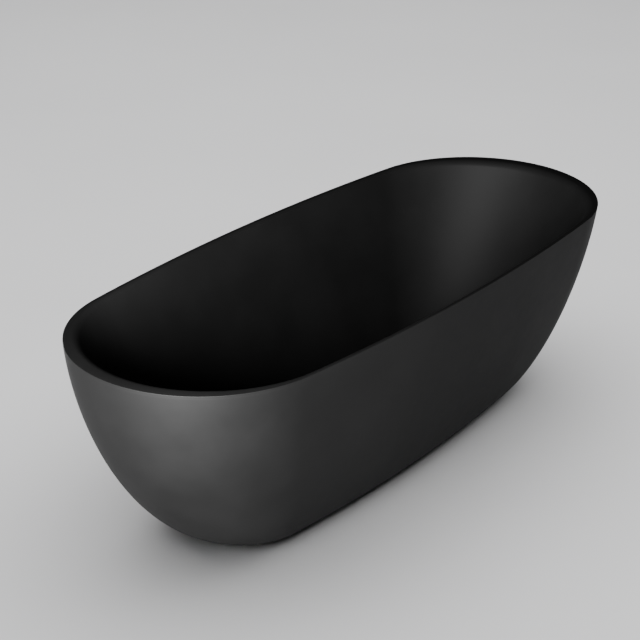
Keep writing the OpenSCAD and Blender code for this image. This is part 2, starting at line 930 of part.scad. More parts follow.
outer_shell();
inner_basin();
rim_bond();
base_board();
board_screws();
frame_rail_left();
frame_rail_right();
cross_bar_1();
cross_bar_2();
cross_bar_3();
cross_bar_4();
rail_caps();
weld_nuts();
lock_nuts();
skirt_bracket_1();
skirt_bracket_2();
skirt_bracket_3();
skirt_bracket_4();
bracket_screws();
leg_stud_1();
leg_stud_2();
leg_stud_3();
leg_stud_4();
foot_pad_1();
foot_pad_2();
foot_pad_3();
foot_pad_4();
waste_flange();
upper_seal();
lower_seal();
waste_body();
plug_cartridge();
plug_spring();
plug_cap();
plug_seal();
plug_stem();
overflow_cover();
overflow_seal();
overflow_box();
overflow_screws();
overflow_hose();
hose_clips();
trap_nut();
trap_nut_seal();
trap_head();
trap_cap();
trap_cap_seal();
outlet_nut();
outlet_seal();
outlet_elbow();
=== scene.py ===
import json
import math
from types import SimpleNamespace

import bpy
import numpy as np
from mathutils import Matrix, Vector


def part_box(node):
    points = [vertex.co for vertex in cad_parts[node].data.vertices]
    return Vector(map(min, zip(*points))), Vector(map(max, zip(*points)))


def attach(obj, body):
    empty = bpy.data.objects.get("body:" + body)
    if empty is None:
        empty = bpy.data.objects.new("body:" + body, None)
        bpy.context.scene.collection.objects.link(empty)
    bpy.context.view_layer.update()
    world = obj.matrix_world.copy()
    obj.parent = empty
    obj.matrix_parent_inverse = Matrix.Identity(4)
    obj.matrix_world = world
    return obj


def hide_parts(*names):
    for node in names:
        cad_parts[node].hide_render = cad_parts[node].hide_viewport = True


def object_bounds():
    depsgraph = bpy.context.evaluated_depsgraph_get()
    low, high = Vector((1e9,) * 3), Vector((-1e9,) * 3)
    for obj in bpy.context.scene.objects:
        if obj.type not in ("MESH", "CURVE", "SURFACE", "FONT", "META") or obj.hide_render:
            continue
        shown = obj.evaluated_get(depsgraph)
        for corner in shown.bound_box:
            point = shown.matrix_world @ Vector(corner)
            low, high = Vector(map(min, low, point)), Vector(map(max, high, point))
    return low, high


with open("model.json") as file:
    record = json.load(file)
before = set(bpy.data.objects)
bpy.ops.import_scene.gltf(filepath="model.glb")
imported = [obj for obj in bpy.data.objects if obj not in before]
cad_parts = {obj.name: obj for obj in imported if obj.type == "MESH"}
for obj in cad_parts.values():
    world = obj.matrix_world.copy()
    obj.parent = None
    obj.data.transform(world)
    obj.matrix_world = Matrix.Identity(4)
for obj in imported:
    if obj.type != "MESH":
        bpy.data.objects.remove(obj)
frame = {"nodes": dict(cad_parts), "record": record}
CAD_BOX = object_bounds()

bl_info = {
    "name": "Freestanding bath",
    "version": (1, 0, 0),
    "blender": (4, 5, 0),
    "location": "3D View > Sidebar > Bath",
    "description": "Shells, fittings and finishes of a double-skinned freestanding bath",
    "category": "Object",
}

MM = 0.001
NODES = frame["nodes"]
LOW, HIGH = (np.array(v) for v in CAD_BOX)
STEPS = 336              # steps round the shells, a multiple of four
SHELL_ROWS = 72          # rows up the shell's outside
INNER_STEP = 3           # the shell's inside keeps every third of them, but not the last
WALL_ROWS = 60           # rows up the basin's wall
SHARP_ANGLE = math.radians(38)      # an edge that turns further stays crisp


# ---- Meshes ----

def ring_quads(rings, count, closed):
    """Quads between neighbouring rings of count points: (this, i), (this, i + 1), (next, i + 1),
    (next, i), so a face points outwards when the way round times the way to the next ring does."""
    a = np.arange(rings if closed else rings - 1)[:, None]
    b = (a + 1) % rings
    i = np.arange(count)[None, :]
    j = (i + 1) % count
    return np.stack([a * count + i, a * count + j, b * count + j, b * count + i], axis=-1)


def mesh_piece(name, points, faces, body, replaced):
    """Makes a smooth-shaded object of points in millimetres and lists of faces, creases its edges
    past the sharp angle, and hangs it on a body in place of the replaced nodes."""
    mesh = bpy.data.meshes.new(name)
    mesh.from_pydata((points.reshape(-1, 3) * MM).tolist(), [], faces)
    mesh.validate()
    mesh.shade_smooth()
    mesh.set_sharp_from_angle(angle=SHARP_ANGLE)
    piece = bpy.data.objects.new(name, mesh)
    bpy.context.scene.collection.objects.link(piece)
    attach(piece, body)
    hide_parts(*replaced)
    return piece


def carried_round(rings):
    """Faces of a closed section carried round the bath and back to its start."""
    return ring_quads(len(rings), STEPS, True).reshape(-1, 4).tolist()


def finish_piece(piece, material):
    """Gives a piece one material in every slot."""
    mesh = piece.data
    if not mesh.materials:
        mesh.materials.append(material)
    for place in piece.material_slots:
        place.material = material


# ---- Shape of the bath ----

def mix(a, b, u):
    """a at u = 0 and b at u = 1, in a straight line between."""
    return a + (b - a) * u


def swell(h, powers):
    """1 - (1 - h) to the first power, all to one over the second power: 0 at the floor, 1 at the rim."""
    return (1 - (1 - h) ** powers[0]) ** (1 / powers[1])


def oval(t, half_l, half_w, end_share):
    """Point and outward direction on an oval of four arcs, t in quarters round from the +X end.
    The end arcs' radius is end_share times the half width, the side arcs meet them in a tangent,
    and each quarter is shared out evenly by its length."""
    t, half_l, half_w, end_share = np.broadcast_arrays(t % 4, half_l, half_w, end_share)
    quarter = np.floor(t)
    part = t - quarter
    part = np.where(quarter % 2 == 0, part, 1 - part)
    end_r = end_share * half_w
    end_x = half_l - end_r
    side_r = (end_x ** 2 + half_w ** 2 - end_r ** 2) / (2 * (half_w - end_r))
    turn = np.arctan2(side_r - half_w, end_x)
    end_arc = end_r * turn
    s = part * (end_arc + side_r * (math.pi / 2 - turn))
    on_end = s < end_arc
    a = np.where(on_end, s / end_r, turn + (s - end_arc) / side_r)
    x = np.where(on_end, end_x, 0) + np.where(on_end, end_r, side_r) * np.cos(a)
    y = np.where(on_end, 0, half_w - side_r) + np.where(on_end, end_r, side_r) * np.sin(a)
    sx = np.where((quarter == 1) | (quarter == 2), -1, 1)
    sy = np.where(quarter > 1, -1, 1)
    return np.stack([sx * x, sy * y], -1), np.stack([sx * np.cos(a), sy * np.sin(a)], -1)


def at_height(xy, z):
    """Adds a height to plan points."""
    return np.concatenate([xy, np.broadcast_to(np.asarray(z, float)[..., None], xy.shape[:-1] + (1,))], -1)


def way_round():
    """The steps round the bath in quarters, as a row."""
    return np.arange(STEPS)[None, :] * 4 / STEPS


def wall_point(h, t, s):
    """Outside of the bath at height share h: the foot's oval swells to the rim's, along the bath by
    one power pair and across it by another."""
    along = swell(h, (s.long_power, s.long_power))
    across = swell(h, (1, s.wide_power))
    xy, out = oval(
        t, mix(s.base_length, s.length, along) / 2, mix(s.base_width, s.width, across) / 2,
        mix(s.base_round, s.rim_round, (along + across) / 2))
    return at_height(xy, h * s.height), out


def slope_normal(surface, v, t):
    """Outward normal of a surface of row v and way round t, from a small step each way."""
    step = 0.001
    low = np.clip(v - step, 0, None)
    up = surface(np.clip(low + 2 * step, None, 1), t) - surface(low, t)
    along = surface(v, t + step) - surface(v, t - step)
    n = np.cross(along, up)
    return n / np.linalg.norm(n, axis=-1, keepdims=True)


ROW_POWER = 2.4          # packs rows of the shell near the floor, where it turns under
WALL_POWER = 1.9         # the same for the basin
END_TURN = math.radians(61)      # the rim's rounded edge turns this far at the ends, then the wall goes on
SIDE_TURN = math.radians(72)     # and this far on the long sides
BEAD_GAP = 0.6           # the seam's bead stops this far short of the shell's inner face
LEVEL_PART = 0.3         # share of the basin's floor round the waste that stays level
ABOVE_SEAM = 1           # the lip's outer face has its first row this far above its underside
EDGE_ROWS = 8            # rows round the rim's outer edge
BACK_SHARES = (0.75, 0.45)       # shares of the rounded edge's turn that its back has rows at
MOUTH_SHARES = np.linspace(0, 0.93, 14)      # and its front, short of the wall's top row
UNDER_SHARES = np.linspace(0, 1, 9)          # shares of the way from the waste to the floor's edge
FLOOR_SHARES = np.linspace(1, 0, 16)
OVERFLOW_HALF = 7.5      # half the height of the hole behind the overflow's cover
OVERFLOW_REACH = 3       # steps round that the hole takes to either side of its middle


def shell_surface(s):
    """The outside as a function of row v, with the rows packed near the floor."""
    return lambda v, t: wall_point(v ** ROW_POWER, t, s)[0]


def round_edge(t, s):
    """Radius and full turn of the rim's rounded inner edge: the side's values on the long arcs,
    growing to the end's with the cosine of the outline's direction."""
    _, out = oval(t, s.mouth_length / 2, s.mouth_width / 2, s.rim_round)
    share = np.abs(out[..., 0])
    return mix(s.side_radius, s.end_radius, share), mix(SIDE_TURN, END_TURN, share)


def basin_surface(s):
    """The basin wall as a function of row v: its floor's oval swells to the rounded edge's foot,
    with the height going as the row to a power."""
    foot = s.floor_height + s.floor_fall
    top_l = s.mouth_length / 2 - s.end_radius * math.sin(END_TURN)
    top_w = s.mouth_width / 2 - s.side_radius * math.sin(SIDE_TURN)

    def point(v, t):
        h = v ** WALL_POWER
        u = swell(h, (1, s.basin_power))
        xy, _ = oval(
            t, mix(s.floor_length / 2, top_l, u), mix(s.floor_width / 2, top_w, u),
            mix(s.base_round, s.rim_round, u))
        radius, turn = round_edge(t, s)
        return at_height(xy, mix(foot, s.height - radius * (1 - np.cos(turn)), h))
    return point


def skirt_rings(s):
    """Closed section of the outer shell carried round: up the outside, across the top, down the
    inside at the shell's thickness, and in along the foot ring. The inside's top row stands for one
    further down, so the wall is thicker just under the lip, out of sight."""
    t = way_round()
    top = s.height - s.lip - s.bond
    surface = shell_surface(s)
    v = np.linspace(0, (top / s.height) ** (1 / ROW_POWER), SHELL_ROWS)[:, None]
    outside = surface(v, t)
    inner_v = v[::INNER_STEP]
    inside = surface(inner_v, t) - s.shell * slope_normal(surface, inner_v, t)
    inside[0, :, 2] = s.shell
    inside[-1, :, 2] = top
    half_l, half_w = s.base_length / 2 - s.foot_ring, s.base_width / 2 - s.foot_ring
    foot, _ = oval(t, half_l, half_w, s.base_round)
    foot = at_height(np.concatenate([foot, foot]), np.array([[s.shell], [0.0]]))
    return np.concatenate([outside, inside[::-1], foot])


def seam_rings(s):
    """Bead between the shell and the basin's lip, flush with the outside all round."""
    t = way_round()
    low, high = s.height - s.lip - s.bond, s.height - s.lip
    v = (np.array([low, high])[:, None] / s.height) ** (1 / ROW_POWER)
    surface = shell_surface(s)
    outer = surface(v, t)
    inner = outer - (s.shell - BEAD_GAP) * slope_normal(surface, v, t)
    outer[..., 2] = inner[..., 2] = np.array([[low], [high]])
    return np.concatenate([outer, inner[::-1]])


def mouth_rings(shares, inside, s):
    """Rounded inner edge of the rim at shares of its turn, or a surface so far inside it: the inset
    is the radius times sin(turn), and the height above its centre the radius times cos(turn)."""
    shares = np.asarray(shares)[:, None]
    t = way_round()
    radius, turn = round_edge(t, s)
    xy, _ = oval(
        t, s.mouth_length / 2 - (s.end_radius - inside) * np.sin(shares * END_TURN),
        s.mouth_width / 2 - (s.side_radius - inside) * np.sin(shares * SIDE_TURN), s.rim_round)
    return at_height(xy, s.height - radius + (radius - inside) * np.cos(shares * turn))


def floor_rings(shares, top, s):
    """Basin floor from the waste's round hole (share 0) to its oval edge (share 1), level underneath
    and dished on top by the fall times the square of the outer part."""
    shares = np.asarray(shares)[:, None]
    t = way_round()
    edge, _ = oval(t, s.floor_length / 2, s.floor_width / 2, s.base_round)
    hole = s.waste_hole * np.stack([np.cos(t * math.pi / 2), np.sin(t * math.pi / 2)], -1)
    xy = mix(hole, edge, shares[..., None])
    if top:
        outer_part = np.clip(shares - LEVEL_PART, 0, None) / (1 - LEVEL_PART)
        z = s.floor_height + s.floor_fall * outer_part ** 2
    else:
        z = np.full_like(shares, s.floor_height - s.basin)
    return at_height(xy, np.broadcast_to(z, xy.shape[:2]))


def lip_rings(s):
    """The rim's lip: out along its underside, up the outside and round its crisp outer edge, whose
    centre sits a hundredth of its radius further in and which starts a few degrees above level."""
    t = way_round()
    surface = shell_surface(s)
    low = s.height - s.lip
    v = np.array([[(low / s.height) ** (1 / ROW_POWER)]])
    outer = surface(v, t)
    inner = outer - s.shell * slope_normal(surface, v, t)
    outer[..., 2] = inner[..., 2] = low
    edge_r = s.rim_edge
    heights = np.linspace(low + ABOVE_SEAM, s.height - 1.02 * edge_r, 4)[:, None]
    wall, _ = wall_point(heights / s.height, t, s)
    rim, out = wall_point(np.ones((1, 1)), t, s)
    turn = np.radians(np.linspace(6, 90, EDGE_ROWS))[:, None, None]
    centre = rim[..., :2] - 1.01 * edge_r * out
    xy = centre + edge_r * np.cos(turn) * out
    z = s.height - edge_r + edge_r * np.sin(turn[..., 0])
    edge = at_height(xy, np.broadcast_to(z, xy.shape[:2]))
    return np.concatenate([inner, outer, wall, edge])


def basin_mesh(s, overflow_height):
    """Closed section of the basin carried round: under the floor, up the back at the wall's
    thickness, out along the lip, over the rim, down the wall and in over the floor. A block of
    faces is left out of wall and back alike for the overflow, and its edges are bridged."""
    t = way_round()
    surface = basin_surface(s)
    foot = s.floor_height + s.floor_fall
    head = s.height - s.side_radius * (1 - math.cos(SIDE_TURN))
    v = np.linspace(0, 1, WALL_ROWS)
    hole = overflow_height + np.array([-OVERFLOW_HALF, OVERFLOW_HALF])
    slot = ((hole - foot) / (head - foot)) ** (1 / WALL_POWER)
    k0 = int(np.abs(v - slot[0]).argmin())
    k1 = max(int(np.abs(v - slot[1]).argmin()), k0 + 1)
    v[k0], v[k1] = slot
    rows = v[1:, None]
    wall = surface(rows, t)
    back = wall + s.basin * slope_normal(surface, rows, t)
    under = floor_rings(UNDER_SHARES, False, s)
    back_edge = mouth_rings(BACK_SHARES, s.basin, s)
    lip = lip_rings(s)
    mouth = mouth_rings(MOUTH_SHARES, 0, s)
    floor = floor_rings(FLOOR_SHARES, True, s)
    rings = np.concatenate([under, back, back_edge, lip, mouth, wall[::-1], floor])
    quads = ring_quads(len(rings), STEPS, True)
    first, last = 3 * STEPS // 4 - OVERFLOW_REACH, 3 * STEPS // 4 + OVERFLOW_REACH
    back0 = len(under)
    wall_end = len(rings) - len(floor) - 1
    keep = np.ones(quads.shape[:2], bool)
    keep[back0 + k0 - 1:back0 + k1 - 1, first:last] = False
    keep[wall_end - (k1 - 1):wall_end - (k0 - 1), first:last] = False
    across = np.arange(first, last + 1)
    up = np.arange(k0, k1 + 1)
    flat, tall = np.ones(len(across) - 1, int), np.ones(len(up) - 1, int)
    rows_of = np.concatenate([k0 * flat, up[:-1], k1 * flat, up[:0:-1]])
    cols_of = np.concatenate([across[:-1], last * tall, across[:0:-1], first * tall])
    on_wall = (wall_end - (rows_of - 1)) * STEPS + cols_of
    on_back = (back0 + rows_of - 1) * STEPS + cols_of
    bridge = np.stack([on_wall, on_back, np.roll(on_back, -1), np.roll(on_wall, -1)], -1)
    points = rings.reshape(-1, 3)
    middle = points[on_wall].mean(0)
    a, b, _, d = (points[bridge[:, k]] for k in range(4))
    facing = np.einsum("ij,ij->i", np.cross(b - a, d - a), middle - a).sum()
    if facing < 0:
        bridge = bridge[:, ::-1]
    return points, quads[keep].tolist() + bridge.tolist()


def with_caps(rings):
    """Quads of a closed rod of rings, with a flat face over its first and its last ring. The rings
    turn counterclockwise seen from the last one."""
    count = rings.shape[1]
    last = (len(rings) - 1) * count
    quads = ring_quads(len(rings), count, False).reshape(-1, 4).tolist()
    return quads + [list(range(count))[::-1], list(range(last, last + count))]


PITCH = 1.75             # thread pitch of the legs
THREAD_DEPTH = 1.0
STUD_SIDES = 48          # steps round a leg
RUN_OUT = 1.6            # plain length between the hexagon and the thread
PIN_RADIUS = 5           # the pin that turns in the foot
PIN_CHAMFER = 0.6
COLLAR = (16.0, 22.0)    # the hexagon's heights above the foot's bottom
CHAMFER_ROWS = (0, 0.4, 0.8)     # depths below the hexagon's faces where its corners are cut to a cone
CONE_START = 0.1         # the cone starts this far inside the hexagon's flats
CONE_SLOPE = 1.6         # and its radius grows this much for each millimetre of depth
TIP_CHAMFER = 1          # at 45 degrees, on the top of the thread
ROWS_A_TURN = 8          # rows of points for each turn of the thread


def stud_rings(low, high, thread_r, corner_r):
    """Leg from its pin in the foot, over the hexagon, to the top of its thread. On the thread the
    radius falls by the thread's depth times a triangle wave of height over pitch less the share of
    the turn, stretched and clipped so crests and roots are flat: a right-handed screw. The hexagon's
    radius is its flat's distance over the cosine of the angle from the flat's middle, cut to a cone
    at both faces."""
    angle = np.linspace(0, 2 * math.pi, STUD_SIDES, endpoint=False)[None, :]
    from_flat = np.mod(angle, math.pi / 3) - math.pi / 6
    flat_r = corner_r * math.cos(math.pi / 6)
    hexagon = flat_r / np.cos(from_flat)
    rows = [(low, PIN_RADIUS - PIN_CHAMFER), (low + PIN_CHAMFER, PIN_RADIUS), (COLLAR[0], PIN_RADIUS)]
    pin = [np.full_like(angle, r) for _, r in rows]
    depths = CHAMFER_ROWS + CHAMFER_ROWS[::-1]
    collar_z = [COLLAR[0] + d for d in CHAMFER_ROWS] + [COLLAR[1] - d for d in CHAMFER_ROWS[::-1]]
    collar = [np.minimum(hexagon, flat_r - CONE_START + CONE_SLOPE * d) for d in depths]
    z = np.arange(COLLAR[1], high, PITCH / ROWS_A_TURN)[:, None]
    z = np.append(z, [[high]], axis=0)
    wave = np.abs(2 * np.mod(z / PITCH - angle / (2 * math.pi), 1) - 1)
    thread = thread_r - THREAD_DEPTH * np.clip(1.15 - 1.4 * wave, 0, 1)
    thread = np.where(z < COLLAR[1] + RUN_OUT, thread_r - THREAD_DEPTH, thread)
    thread = np.minimum(thread, thread_r - TIP_CHAMFER + (high - z))
    radius = np.concatenate([*pin, *collar, thread])
    heights = np.concatenate([[h for h, _ in rows], collar_z, z[:, 0]])[:, None]
    xy = radius[..., None] * np.stack([np.cos(angle), np.sin(angle)], -1)
    return at_height(xy, heights + 0 * angle)


HOSE_ROUTE = np.array([  # y and z of the overflow hose's middle line, from the overflow down to the waste
    (-287.03, 344.33), (-282.32, 331.14), (-276.55, 305), (-265.57, 272.5), (-253.85, 240),
    (-241.14, 207.5), (-226.94, 175), (-200, 136), (-170, 113), (-130, 105), (-95, 105), (-62, 105)])
HOSE_RADIUS = 9.95
HOSE_SIDES = 24          # steps round the hose
HOSE_STEP = 0.7          # length of hose between rings
CUFF = 10                # plain length at both ends
RIB_PITCH = 4.2
RIB_DEPTH = 1.3
CURVE_STEPS = 40         # points on the curve between two points of the route


def smooth_route(route, step):
    """Lengths run and points, evenly along a Catmull-Rom curve through a route in the YZ plane: with
    neighbours a, b, c, d the curve between b and c is half of 2b + (c - a)u + (2a - 5b + 4c - d)u^2
    + (3b - a - 3c + d)u^3."""
    ends = np.concatenate([route[:1], route, route[-1:]])
    a, b, c, d = (ends[k:len(route) - 1 + k, None] for k in range(4))
    u = np.linspace(0, 1, CURVE_STEPS, endpoint=False)[None, :, None]
    bends = (2 * a - 5 * b + 4 * c - d) * u ** 2 + (3 * b - a - 3 * c + d) * u ** 3
    curve = 0.5 * (2 * b + (c - a) * u + bends)
    curve = np.append(curve.reshape(-1, 2), route[-1:], axis=0)
    run = np.append(0, np.cumsum(np.linalg.norm(np.diff(curve, axis=0), axis=1)))
    at = np.linspace(0, run[-1], int(run[-1] / step) + 1)
    return at, np.stack([np.interp(at, run, curve[:, k]) for k in (0, 1)], -1)


def hose_rings():
    """Corrugated hose: the radius is a steep wave of the length run, the hyperbolic tangent of twice
    a cosine, and level at both cuffs."""
    at, line = smooth_route(HOSE_ROUTE, HOSE_STEP)
    way = np.gradient(line, axis=0)
    way /= np.linalg.norm(way, axis=1, keepdims=True)
    wave = np.tanh(2 * np.cos(2 * math.pi * (at - CUFF) / RIB_PITCH))
    plain = (at < CUFF) | (at > at[-1] - CUFF)
    r = np.where(plain, HOSE_RADIUS, HOSE_RADIUS - RIB_DEPTH / 2 * (1 - wave))[:, None]
    angle = np.linspace(0, 2 * math.pi, HOSE_SIDES, endpoint=False)[None, :]
    x = r * np.cos(angle)
    y = line[:, :1] + r * np.sin(angle) * way[:, 1:]
    z = line[:, 1:] - r * np.sin(angle) * way[:, :1]
    return np.stack([x, y, z], -1)


# ---- Colours and materials ----

COLOUR_RESULT = 2        # the Mix node's output for colours
PLASTIC_IOR = 1.49
COMPOSITE_IOR = 1.5
COATING_IOR = 1.5
COMPOSITE_GLOSS = 0.06   # far below a real composite's 0.5, so the pale floor barely shows in the black


def linear(code):
    """sRGB hex to linear RGBA."""
    c = np.array([int(code[i:i + 2], 16) for i in (1, 3, 5)]) / 255
    c = np.where(c <= 0.04045, c / 12.92, ((c + 0.055) / 1.055) ** 2.4)
    return (*c.tolist(), 1.0)


def add(tree, kind, inputs=None, **settings):
    """Adds one node: settings are its properties, and inputs are values or sockets to link."""
    n = tree.nodes.new(kind)
    for name, value in settings.items():
        setattr(n, name, value)
    for name, value in (inputs or {}).items():
        if isinstance(value, bpy.types.NodeSocket):
            tree.links.new(value, n.inputs[name])
        else:
            n.inputs[name].default_value = value
    return n


def start_material(name):
    """A new material with its shader, and the object's own coordinates in metres."""
    m = bpy.data.materials.new(name)
    m.use_nodes = True
    tree = m.node_tree
    tree.nodes.clear()
    shader = add(tree, "ShaderNodeBsdfPrincipled")
    add(tree, "ShaderNodeOutputMaterial", {"Surface": shader.outputs[0]})
    where = add(tree, "ShaderNodeTexCoord").outputs["Object"]
    return m, tree, shader, where


def noise(tree, where, size_mm, detail=2.0, rough=0.5):
    """Cloudy pattern whose patches are about size_mm across."""
    return add(tree, "ShaderNodeTexNoise", {
        "Vector": where, "Scale": 1 / (size_mm * MM), "Detail": detail, "Roughness": rough}).outputs["Fac"]


def spread(tree, fac, low, high, clip=(0.3, 0.7)):
    """Maps a pattern's middle range onto low to high."""
    ends = {"From Min": clip[0], "From Max": clip[1], "To Min": low, "To Max": high}
    return add(tree, "ShaderNodeMapRange", {"Value": fac, **ends}).outputs["Result"]


def tint(tree, fac, first, second):
    """Colour from the first to the second by a pattern, each a colour or a socket."""
    inputs = {"Factor": fac, "A": first, "B": second}
    return add(tree, "ShaderNodeMix", inputs, data_type="RGBA", clamp_factor=True).outputs[COLOUR_RESULT]


def bump(tree, height, depth_mm, strength):
    """Surface relief of a height pattern, depth_mm from its low to its high."""
    inputs = {"Height": height, "Distance": depth_mm * MM, "Strength": strength}
    return add(tree, "ShaderNodeBump", inputs).outputs["Normal"]


def set_shader(tree, shader, **inputs):
    """Fills or links the shader's sockets, named in words with underscores."""
    for name, value in inputs.items():
        socket = shader.inputs[name.replace("_", " ")]
        if isinstance(value, bpy.types.NodeSocket):
            tree.links.new(value, socket)
        else:
            socket.default_value = value


def cast_composite(name, base, cloud, roughness):
    """Black solid-surface composite, cast and sanded to a satin: a deep even black with a soft
    sheen, faint clouding from sanding and a fine tooth that breaks the highlights."""
    m, tree, shader, where = start_material(name)
    clouds = noise(tree, where, size_mm=180, detail=3)
    sanding = noise(tree, where, size_mm=26, detail=3, rough=0.6)
    tooth = noise(tree, where, size_mm=1.1, detail=2)    # real tooth is 0.1 mm, drawn coarser to show
    colour = tint(tree, spread(tree, clouds, 0, 1), base, cloud)
    cloudy = spread(tree, clouds, roughness - 0.02, roughness + 0.02)
    sanded = spread(tree, sanding, -0.012, 0.012)
    rough = add(tree, "ShaderNodeMath", {0: cloudy, 1: sanded}, operation="ADD").outputs[0]
    relief = bump(tree, tooth, 0.012, 0.5)
    set_shader(tree, shader, Base_Color=colour, Roughness=rough, Normal=relief)
    shader.inputs["IOR"].default_value = COMPOSITE_IOR
    shader.inputs["Specular IOR Level"].default_value = COMPOSITE_GLOSS
    return m


def birch_plywood():
    """Birch plywood, peeled veneers glued crosswise: pale long grain on the face, thin dark and
    light layers on the edges."""
    m, tree, shader, where = start_material("birch_plywood")
    long_grain = add(tree, "ShaderNodeMapping", {"Vector": where, "Scale": (0.12, 1, 1)}).outputs[0]
    grain = noise(tree, long_grain, size_mm=9, detail=6, rough=0.65)
    pores = noise(tree, long_grain, size_mm=1.6, detail=2)
    pair_of_veneers = 2.8 * MM
    height = add(tree, "ShaderNodeSeparateXYZ", {"Vector": where}).outputs["Z"]
    waves = {0: height, 1: 2 * math.pi / pair_of_veneers}
    phase = add(tree, "ShaderNodeMath", waves, operation="MULTIPLY").outputs[0]
    layers = add(tree, "ShaderNodeMath", {0: phase}, operation="SINE").outputs[0]
    face = tint(tree, spread(tree, grain, 0, 1), linear("#c9a26b"), linear("#a87d48"))
    edge = tint(tree, spread(tree, layers, 0, 1, (-0.4, 0.4)), linear("#b98d58"), linear("#7c5530"))
    facing = add(tree, "ShaderNodeNewGeometry").outputs["True Normal"]
    up = add(tree, "ShaderNodeSeparateXYZ", {"Vector": facing}).outputs["Z"]
    flat = add(tree, "ShaderNodeMath", {0: up}, operation="ABSOLUTE").outputs[0]
    whole = tint(tree, flat, edge, face)
    set_shader(tree, shader, Base_Color=whole, Roughness=spread(tree, pores, 0.5, 0.68),
               Normal=bump(tree, pores, 0.05, 0.6))
    return m


def mild_steel():
    """Hot-rolled mild steel tube with mill scale, welded: blue-grey with duller rusty freckles."""
    m, tree, shader, where = start_material("mild_steel_mill_scale")
    drawn = add(tree, "ShaderNodeMapping", {"Vector": where, "Scale": (0.08, 0.3, 1)}).outputs[0]
    streaks = noise(tree, drawn, size_mm=3, detail=4)
    freckles = noise(tree, where, size_mm=7, detail=5, rough=0.7)
    steel = tint(tree, spread(tree, streaks, 0, 1), linear("#6d7277"), linear("#8d9297"))
    rare = (0.6, 0.75)       # only the pattern's highest parts show as rust
    rusty = tint(tree, spread(tree, freckles, 0, 0.55, rare), steel, linear("#6b4630"))
    bare = spread(tree, freckles, 0.95, 0.5, rare)
    set_shader(tree, shader, Base_Color=rusty, Metallic=bare, Roughness=spread(tree, streaks, 0.34, 0.52),
               Normal=bump(tree, freckles, 0.06, 0.5))
    return m


def zinc_plate():
    """Zinc-plated steel, barrel plated: bright bluish silver with small dull patches."""
    m, tree, shader, where = start_material("zinc_plated_steel")
    flakes = add(tree, "ShaderNodeTexVoronoi", {"Vector": where, "Scale": 1 / (2.4 * MM)}).outputs["Color"]
    flake = add(tree, "ShaderNodeSeparateXYZ", {"Vector": flakes}).outputs["X"]
    patches = noise(tree, where, size_mm=14, detail=4)
    colour = tint(tree, spread(tree, patches, 0, 1), linear("#b4bac0"), linear("#9aa1a8"))
    bright = spread(tree, flake, 0.2, 0.3, (0, 1))
    dull = spread(tree, patches, 0, 0.12)
    rough = add(tree, "ShaderNodeMath", {0: bright, 1: dull}, operation="ADD").outputs[0]
    set_shader(tree, shader, Base_Color=colour, Metallic=1.0, Roughness=rough,
               Normal=bump(tree, patches, 0.03, 0.3))
    return m


def turned_stainless():
    """Stainless steel, turned: neutral silver with fine rings that stretch the highlights."""
    m, tree, shader, where = start_material("turned_stainless")
    # real turning marks are 0.1 mm apart, drawn coarser to show
    rings = add(tree, "ShaderNodeMapping", {"Vector": where, "Scale": (0.02, 0.02, 1)}).outputs[0]
    lines = noise(tree, rings, size_mm=0.5, detail=3)
    smudge = noise(tree, where, size_mm=9, detail=3)
    colour = tint(tree, spread(tree, lines, 0, 1), linear("#c3c4c5"), linear("#a9aaac"))
    turned = spread(tree, lines, 0.18, 0.3)
    smudged = spread(tree, smudge, 0, 0.08)
    rough = add(tree, "ShaderNodeMath", {0: turned, 1: smudged}, operation="ADD").outputs[0]
    set_shader(tree, shader, Base_Color=colour, Metallic=1.0, Roughness=rough,
               Normal=bump(tree, lines, 0.01, 0.4))
    return m


def moulded_plastic(name, base, worn, grain_mm, roughness):
    """Injection-moulded polypropylene: a flat black with a fine spark-eroded grain and faint
    grey flow marks."""
    m, tree, shader, where = start_material(name)
    grain = noise(tree, where, size_mm=grain_mm, detail=2)
    upright = add(tree, "ShaderNodeMapping", {"Vector": where, "Scale": (1, 1, 0.25)}).outputs[0]
    flow = noise(tree, upright, size_mm=16, detail=4)
    colour = tint(tree, spread(tree, flow, 0, 1), base, worn)
    rough = spread(tree, flow, roughness - 0.05, roughness + 0.07)
    set_shader(tree, shader, Base_Color=colour, Roughness=rough, Normal=bump(tree, grain, 0.03, 0.5))
    shader.inputs["IOR"].default_value = PLASTIC_IOR
    return m


def powder_coat(name, base, fleck):
    """Powder coating baked on brass: an even satin black with a slight orange peel and a few
    lighter flecks."""
    m, tree, shader, where = start_material(name)
    peel = noise(tree, where, size_mm=1.4, detail=1)
    dust = noise(tree, where, size_mm=0.7, detail=0)
    colour = tint(tree, spread(tree, dust, 0, 1, (0.68, 0.8)), base, fleck)
    set_shader(tree, shader, Base_Color=colour, Roughness=spread(tree, peel, 0.42, 0.5),
               Normal=bump(tree, peel, 0.02, 0.6))
    shader.inputs["IOR"].default_value = COATING_IOR
    return m


def seal_rubber():
    """Moulded EPDM rubber: a dead charcoal with a pale bloom."""
    m, tree, shader, where = start_material("epdm_rubber")
    bloom = noise(tree, where, size_mm=5, detail=4, rough=0.65)
    pits = noise(tree, where, size_mm=0.6, detail=1)
    colour = tint(tree, spread(tree, bloom, 0, 1), linear("#1f1f20"), linear("#333332"))
    set_shader(tree, shader, Base_Color=colour, Roughness=spread(tree, bloom, 0.72, 0.86),
               Normal=bump(tree, pits, 0.03, 0.6))
    return m


def bond_adhesive():
    """Polyurethane adhesive rubbed flush and sanded with the rim: the same black, a touch duller."""
    return cast_composite("polyurethane_bond", linear("#060606"), linear("#080808"), 0.59)


